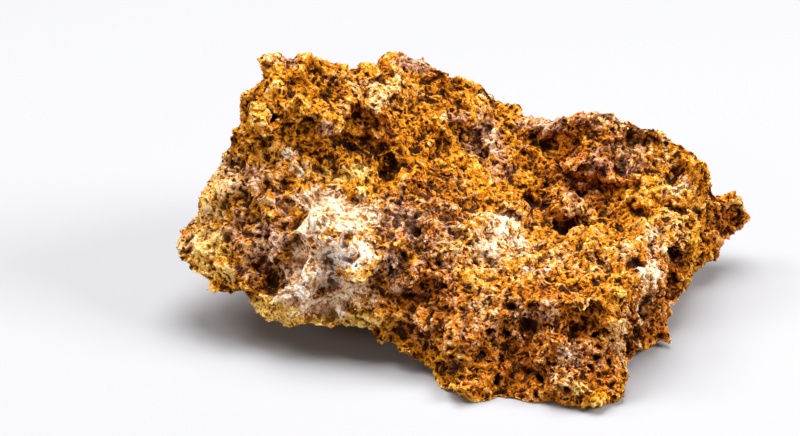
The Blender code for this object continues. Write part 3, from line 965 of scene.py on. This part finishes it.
        # Painted shade, with some real staining, in hollows, pinholes and the gaps between threads, with
        # less of it on chalk, lemon and mauve
        dark = sheet.product(
            sheet.highest(sunk, pinholes, gaps),
            sheet.step(chalky, 0.2, 0.9, 0.85, 0.4),
            sheet.step(sheet.highest(lemony, mauvish), 0.2, 0.9, 1.0, 0.75),
        )
        return sheet.highest(dark, sheet.product(stain, low, 0.8))

    def bump(self, sheet: Sheet, weave: Weave) -> Socket:
        """Gives the normal with the finest grains and threads on it."""
        dust = sheet.noise(0.35, 3.0, 0.7, 41.0).outputs[0]
        height = sheet.total(
            sheet.product(weave.threads, 0.4),
            sheet.product(weave.fine_threads, 0.3),
            sheet.product(dust, 0.5),
        )
        node = sheet.add("ShaderNodeBump")
        node.inputs["Strength"].default_value = 1.0
        node.inputs["Distance"].default_value = self.bump_depth * MM
        sheet.feed(node.inputs["Height"], height)
        return node.outputs[0]

    def material(self) -> bpy.types.Material:
        """Makes the finish."""
        material = bpy.data.materials.new(self.name)
        material.use_nodes = True
        tree = material.node_tree
        shader = tree.nodes["Principled BSDF"]
        place = tree.nodes.new("ShaderNodeTexCoord").outputs["Object"]
        sheet = Sheet(tree, place)
        weave = self.weave(sheet)
        shader.inputs["Roughness"].default_value = self.roughness
        shader.inputs["Specular IOR Level"].default_value = self.specular
        sheet.feed(shader.inputs["Base Color"], self.colour(sheet, weave))
        sheet.feed(shader.inputs["Normal"], self.bump(sheet, weave))
        return material


@dataclass
class OreBody:
    """The lump itself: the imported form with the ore's broken surface on it.

    Attributes:
        name: the piece's name.
        voxel: how wide the faces of the skin are before it is thinned out, in millimetres.
        rounding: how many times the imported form's facets are smoothed.
        triangles: how many triangles the piece has.
        rest_fade: the height below which the surface stays as packed, in millimetres.
        sway_reach: how far a point is pushed in any direction, in millimetres.
        sway_size: how wide the pushes are, in millimetres.
        bank: how far a banked hollow is filled, in millimetres.
        spread: how many neighbours away a point's surroundings reach.
        pull: how far each round of smoothing moves a point towards its neighbours, as a share.
        weld: how close two points are to be merged, in millimetres.
    """

    name: str = "ore_body"
    voxel: float = 0.27
    rounding: int = 10
    triangles: int = 198000
    rest_fade: float = 1.0
    sway_reach: float = 0.6
    sway_size: float = 4.2
    bank: float = 1.4
    spread: int = 14
    pull: float = 0.6
    weld: float = 0.001

    def copy_form(self) -> bpy.types.Object:
        """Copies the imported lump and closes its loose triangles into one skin."""
        source = frame["nodes"][NODE]
        piece = bpy.data.objects.new(self.name, source.data.copy())
        bpy.context.scene.collection.objects.link(piece)
        take_up(piece)
        bpy.ops.object.mode_set(mode="EDIT")
        bpy.ops.mesh.select_all(action="SELECT")
        bpy.ops.mesh.remove_doubles(threshold=self.weld * MM)
        bpy.ops.object.mode_set(mode="OBJECT")
        return piece

    def refine(self, piece: bpy.types.Object) -> None:
        """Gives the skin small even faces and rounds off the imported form's facets."""
        remesh = piece.modifiers.new("even faces", "REMESH")
        remesh.mode = "VOXEL"
        remesh.voxel_size = self.voxel * MM
        rounding = piece.modifiers.new("rounding", "SMOOTH")
        rounding.factor = 0.5
        rounding.iterations = self.rounding
        finish_modifiers(piece)

    def relief(self, sheet: ShapingSheet) -> Socket:
        """Adds up the layers of the broken surface, in metres."""
        ropy, porous, powdery, layers, ribs_at, banked = (sheet.field(kind.value) for kind in Grain)
        layered = sheet.step(layers, 0.1, 0.9)
        ribbed = sheet.step(ribs_at, 0.1, 0.9)
        calm = sheet.step(powdery, 0.2, 0.9, 1.0, 0.2)
        softer = sheet.step(powdery, 0.2, 0.9, 1.0, 0.45)
        knotted = sheet.step(ropy, 0.0, 1.0, 0.3, 1.2)
        holed = sheet.step(porous, 0.0, 1.0, 0.4, 1.15)
        loose = sheet.shaken(3.0, 1.1)
        tight = sheet.shaken(1.0, 0.4, 5.0)
        beds = loose.drawn((0.35, 0.35, 1.6))
        ribs = loose.drawn((1.5, 1.1, 0.3))
        flow = loose.drawn((0.45, 0.8, 1.4), -24.0)
        return sheet.total(
            sheet.product(Lumps(size=3.6, rise=1.0).height(loose), knotted, calm),
            sheet.product(Crests(size=8.0, rise=1.1, roughness=0.5).height(loose), calm),
            sheet.product(Crests(size=2.8, rise=0.5, shift=6.0).height(flow), calm),
            sheet.product(Crests(size=1.3, rise=0.34, shift=4.0).height(tight), softer),
            sheet.product(Blocks(size=0.9, step=0.3, shift=0.2).height(tight), softer),
            sheet.product(Pores(size=1.9, depth=1.0, share=0.22).height(tight), holed, calm),
            sheet.product(Caves(size=1.0, depth=0.7, rim=0.41).height(tight), holed, softer),
            sheet.product(Crests(size=1.8, rise=0.6, shift=8.0).height(beds), layered),
            sheet.product(Crests(size=2.0, rise=0.7, shift=9.0).height(ribs), ribbed),
            Rough(size=0.8, rise=0.2).height(sheet),
            sheet.product(sheet.step(banked, 0.1, 1.0), self.bank * MM),
        )

    def sway(self, sheet: ShapingSheet) -> Socket:
        """Gives how far each point is pushed in any direction, so that no edge stays even."""
        cloud = sheet.noise(self.sway_size, 1.0, 0.4, 51.0).outputs[1]
        return sheet.scaled(sheet.vector("SUBTRACT", cloud, (0.5, 0.5, 0.5)), 4 * self.sway_reach * MM)

    def break_up(self, piece: bpy.types.Object) -> None:
        """Moves the skin in and out along its normals to make the broken surface."""
        sheet = ShapingSheet.new("broken surface")
        rise = sheet.scaled(sheet.add("GeometryNodeInputNormal").outputs[0], self.relief(sheet))
        whole = sheet.vector("ADD", rise, self.sway(sheet))
        above = sheet.parts(sheet.place)[2]
        offset = sheet.scaled(whole, sheet.step(above, 0.0, self.rest_fade * MM))
        move = sheet.add("GeometryNodeSetPosition")
        sheet.feed(move.inputs["Geometry"], sheet.entry)
        sheet.feed(move.inputs["Offset"], offset)
        sheet.feed(sheet.exit, move.outputs[0])
        sheet.use_on(piece)
        finish_modifiers(piece)

    def thin_out(self, piece: bpy.types.Object) -> None:
        """Collapses the flattest faces until the piece has its number of triangles."""
        take_up(piece)
        piece.modifiers.new("triangles", "TRIANGULATE")
        finish_modifiers(piece)
        decimate = piece.modifiers.new("fewer faces", "DECIMATE")
        decimate.ratio = min(1.0, self.triangles / len(piece.data.polygons))
        finish_modifiers(piece)

    def measure_hollows(self, mesh: bpy.types.Mesh) -> None:
        """Writes how far each point lies below its surroundings, in millimetres.

        Args:
            mesh: the finished mesh of the lump.
        """
        points = points_of(mesh).astype(np.float64)
        edges = np.empty(len(mesh.edges) * 2, np.int64)
        mesh.edges.foreach_get("vertices", edges)
        first, second = edges.reshape(-1, 2).T
        neighbours = np.bincount(edges, minlength=len(points))
        smooth = points.copy()
        for _ in range(self.spread):
            gathered = np.zeros_like(smooth)
            for axis in range(3):
                gathered[:, axis] = np.bincount(first, smooth[second, axis], len(points))
                gathered[:, axis] += np.bincount(second, smooth[first, axis], len(points))
            smooth = (1 - self.pull) * smooth + self.pull * gathered / neighbours[:, None]
        normals = np.empty(len(points) * 3, np.float32)
        mesh.vertex_normals.foreach_get("vector", normals)
        below = np.sum((smooth - points) * normals.reshape(-1, 3), axis=1) / MM
        write_level(mesh, HOLLOW, below)

    def build(self, painter: Painter, finish: bpy.types.Material) -> bpy.types.Object:
        """Builds, marks and dresses the lump.

        Args:
            painter: says where the earths and grains lie.
            finish: the ore's material.

        Returns:
            The finished piece.
        """
        piece = self.copy_form()
        self.refine(piece)
        painter.mark(piece.data)
        self.break_up(piece)
        self.thin_out(piece)
        settle(piece)
        painter.mark(piece.data)
        self.measure_hollows(piece.data)
        declare(piece, finish)
        return piece


@dataclass
class Crumbs:
    """Angular grains of the ore, bedded in its surface.

    Attributes:
        name: the piece's name.
        small, large: the least and greatest radius of a grain, in millimetres.
        seed: fixes where the grains fall and how they lie.
        shape: how long, wide and thick a grain is, as shares of its radius.
        tilt: how far a grain may be tipped out of the surface, in degrees.
        sides, rings: how finely the grain's ball is divided before it is made angular.
        triangles: how many triangles the grains would have if they lay as closely everywhere.
        kinds: how many different grains there are.
        knocked: the least and greatest share by which a grain's corners are moved in or out.
        stretched: the least and greatest share by which a grain is stretched along an axis.
    """

    name: str
    small: float
    large: float
    seed: int
    shape: tuple[float, float, float] = (1.0, 0.9, 0.8)
    tilt: float = 180.0
    sides: int = 3
    rings: int = 3
    triangles: int = 280000
    kinds: int = 6
    knocked: tuple[float, float] = (0.62, 1.15)
    stretched: tuple[float, float] = (0.75, 1.15)

    def one_grain(self, number: int) -> bpy.types.Object:
        """Makes one angular grain of radius 1."""
        deselect_all()
        bpy.ops.mesh.primitive_uv_sphere_add(segments=self.sides, ring_count=self.rings, radius=1.0)
        grain = bpy.context.object
        grain.name = f"{self.name}_kind_{number}"
        chance = np.random.default_rng(self.seed * 100 + number)
        points = points_of(grain.data)
        points *= chance.uniform(*self.knocked, (len(points), 1))
        points *= chance.uniform(*self.stretched, (1, 3)) * np.array(self.shape)
        grain.data.vertices.foreach_set("co", points.astype(np.float32).ravel())
        return grain

    def grain_box(self) -> bpy.types.Collection:
        """Makes the different grains, in a collection of their own."""
        box = bpy.data.collections.new(f"{self.name} kinds")
        bpy.context.scene.collection.children.link(box)
        for number in range(self.kinds):
            grain = self.one_grain(number)
            for home in list(grain.users_collection):
                home.objects.unlink(grain)
            box.objects.link(grain)
        return box

    def scatter_tree(self, box: bpy.types.Collection, area: float) -> ShapingSheet:
        """Lays out the scattering of the grains over a surface.

        Args:
            box: the collection of grains.
            area: the surface's area, in square metres.

        Returns:
            The modifier's sheet.
        """
        faces = 2 * self.sides * (self.rings - 1)
        sheet = ShapingSheet.new(self.name)
        wanted = sheet.product(
            sheet.step(sheet.field(HOLLOW), 0.0, 0.25, 1.0, 0.04),
            sheet.step(sheet.field(Grain.POWDERY.value), 0.2, 0.8, 1.0, 0.1),
        )
        strew = sheet.add("GeometryNodeDistributePointsOnFaces", distribute_method="RANDOM")
        sheet.feed(strew.inputs["Mesh"], sheet.entry)
        sheet.feed(strew.inputs["Density"], sheet.product(wanted, self.triangles / faces / area))
        strew.inputs["Seed"].default_value = self.seed
        kinds = sheet.add("GeometryNodeCollectionInfo")
        kinds.inputs["Collection"].default_value = box
        kinds.inputs["Separate Children"].default_value = True
        kinds.inputs["Reset Children"].default_value = True
        tilt = math.radians(self.tilt)
        turn = sheet.add("FunctionNodeRandomValue", data_type="FLOAT_VECTOR")
        turn.inputs[0].default_value = (-tilt, -tilt, -math.pi)
        turn.inputs[1].default_value = (tilt, tilt, math.pi)
        turn.inputs["Seed"].default_value = self.seed + 1
        tipped = sheet.add("FunctionNodeRotateRotation", rotation_space="LOCAL")
        sheet.feed(tipped.inputs[0], strew.outputs["Rotation"])
        sheet.feed(tipped.inputs[1], turn.outputs[0])
        spread = sheet.add("FunctionNodeRandomValue", data_type="FLOAT")
        spread.inputs[2].default_value = 0.0
        spread.inputs[3].default_value = 1.0
        spread.inputs["Seed"].default_value = self.seed + 2
        size = sheet.total(
            sheet.product(sheet.count("POWER", spread.outputs[1], 2.0), (self.large - self.small) * MM),
            self.small * MM,
        )
        place = sheet.add("GeometryNodeInstanceOnPoints")
        sheet.feed(place.inputs["Points"], strew.outputs["Points"])
        sheet.feed(place.inputs["Instance"], kinds.outputs[0])
        place.inputs["Pick Instance"].default_value = True
        sheet.feed(place.inputs["Rotation"], tipped.outputs[0])
        sheet.feed(place.inputs["Scale"], size)
        whole = sheet.add("GeometryNodeRealizeInstances")
        sheet.feed(whole.inputs[0], place.outputs[0])
        sheet.feed(sheet.exit, whole.outputs[0])
        return sheet

    def build(self, body: bpy.types.Object, finish: bpy.types.Material) -> bpy.types.Object:
        """Strews the grains over the lump and dresses them.

        Args:
            body: the finished lump.
            finish: the ore's material.

        Returns:
            The finished piece.
        """
        box = self.grain_box()
        area = sum(face.area for face in body.data.polygons)
        piece = bpy.data.objects.new(self.name, body.data.copy())
        bpy.context.scene.collection.objects.link(piece)
        self.scatter_tree(box, area).use_on(piece)
        piece.modifiers.new("triangles", "TRIANGULATE")
        finish_modifiers(piece)
        for grain in list(box.objects):
            bpy.data.objects.remove(grain)
        bpy.data.collections.remove(box)
        settle(piece)
        declare(piece, finish)
        return piece


@dataclass(frozen=True)
class SoftLight:
    """One round soft studio light, aimed at the lump.

    Attributes:
        name: the light's name.
        place, size: where it hangs and how wide it is, in metres.
        power: how bright it is, in watts.
        tint: its colour.
        aim: the point that it is turned to, in metres.
    """

    name: str
    place: tuple[float, float, float]
    size: float
    power: float
    tint: Colour = (0.975, 1.0, 1.04)
    aim: tuple[float, float, float] = (0.0, 0.0, 0.015)

    def build(self) -> bpy.types.Object:
        """Hangs the light."""
        data = bpy.data.lights.new(self.name, "AREA")
        data.shape = "DISK"
        data.size = self.size
        data.energy = self.power
        data.color = self.tint
        light = bpy.data.objects.new(self.name, data)
        light.location = self.place
        way = Vector(self.aim) - Vector(self.place)
        light.rotation_euler = way.to_track_quat("-Z", "Y").to_euler()
        bpy.context.scene.collection.objects.link(light)
        return light


@dataclass
class Studio:
    """The pale floor, the lights and the camera.

    Attributes:
        floor_width: how wide the floor is, in metres.
        floor_colour, floor_roughness, floor_specular: the floor's finish.
        sky, sky_colour: how bright the even light from all around is, and its colour.
        look: how much contrast the picture is developed with.
        lights: the lights.
    """

    floor_width: float = 8.0
    floor_colour: Colour = paint(168, 167, 168)
    floor_roughness: float = 0.7
    floor_specular: float = 0.2
    sky: float = 0.14
    sky_colour: Colour = (1.0, 0.84, 0.72)
    look: str = "Medium Contrast"
    lights: tuple[SoftLight, ...] = (
        SoftLight("overhead softbox", (0.0, 0.13, 0.62), 0.50, 6.6),
        SoftLight("left softbox", (-0.42, 0.08, 0.54), 0.30, 2.4),
        SoftLight("right softbox", (0.54, -0.12, 0.38), 0.30, 4.4),
        SoftLight("side fill", (-0.50, -0.30, 0.24), 0.24, 0.7),
    )

    def floor(self) -> bpy.types.Object:
        """Lays the floor."""
        deselect_all()
        bpy.ops.mesh.primitive_plane_add(size=self.floor_width, location=(0.0, 0.0, 0.0))
        floor = bpy.context.object
        floor.name = "pale_floor"
        material = bpy.data.materials.new("pale matte board")
        material.use_nodes = True
        shader = material.node_tree.nodes["Principled BSDF"]
        shader.inputs["Base Color"].default_value = (*self.floor_colour, 1.0)
        shader.inputs["Roughness"].default_value = self.floor_roughness
        shader.inputs["Specular IOR Level"].default_value = self.floor_specular
        floor.data.materials.append(material)
        return floor

    def surroundings(self) -> None:
        """Lights the scene evenly from all around and sets how the picture is developed."""
        world = bpy.data.worlds.new("studio")
        world.use_nodes = True
        backdrop = world.node_tree.nodes["Background"]
        backdrop.inputs["Color"].default_value = (*self.sky_colour, 1.0)
        backdrop.inputs["Strength"].default_value = self.sky
        scene = bpy.context.scene
        scene.world = world
        scene.view_settings.view_transform = "Standard"
        scene.view_settings.look = self.look

    def camera(self) -> bpy.types.Object:
        """Sets up the camera."""
        data = bpy.data.cameras.new("camera")
        data.lens = VIEW.lens
        data.sensor_width = VIEW.sensor
        data.clip_start = 0.01
        camera = bpy.data.objects.new("camera", data)
        camera.location = VIEW.stand()
        camera.rotation_euler = (math.radians(90 - VIEW.lift), 0.0, 0.0)
        bpy.context.scene.collection.objects.link(camera)
        bpy.context.scene.camera = camera
        return camera

    def build(self) -> None:
        """Sets up the whole studio."""
        self.floor()
        self.surroundings()
        for light in self.lights:
            light.build()
        self.camera()
        log.info("studio: %d lights", len(self.lights))


CRUMBS = (
    Crumbs("crumbs", small=0.16, large=0.45, seed=11),
    Crumbs("grit", small=0.12, large=0.3, seed=53),
    Crumbs("flakes", small=0.22, large=0.6, seed=23, shape=(1.0, 0.6, 0.25), tilt=40.0),
    Crumbs("splinters", small=0.22, large=0.6, seed=37, shape=(1.0, 0.25, 0.2), tilt=30.0),
)


def main() -> None:
    """Builds the specimen and its studio in order."""
    logging.basicConfig(level=logging.INFO, format="%(name)s: %(message)s")
    form = BVHTree.FromObject(frame["nodes"][NODE], bpy.context.evaluated_depsgraph_get())
    painter = Painter(form)
    finish = OreFinish().material()
    body = OreBody().build(painter, finish)
    for crumbs in CRUMBS:
        crumbs.build(body, finish)
    Studio().build()


if __name__ == "__main__":
    main()
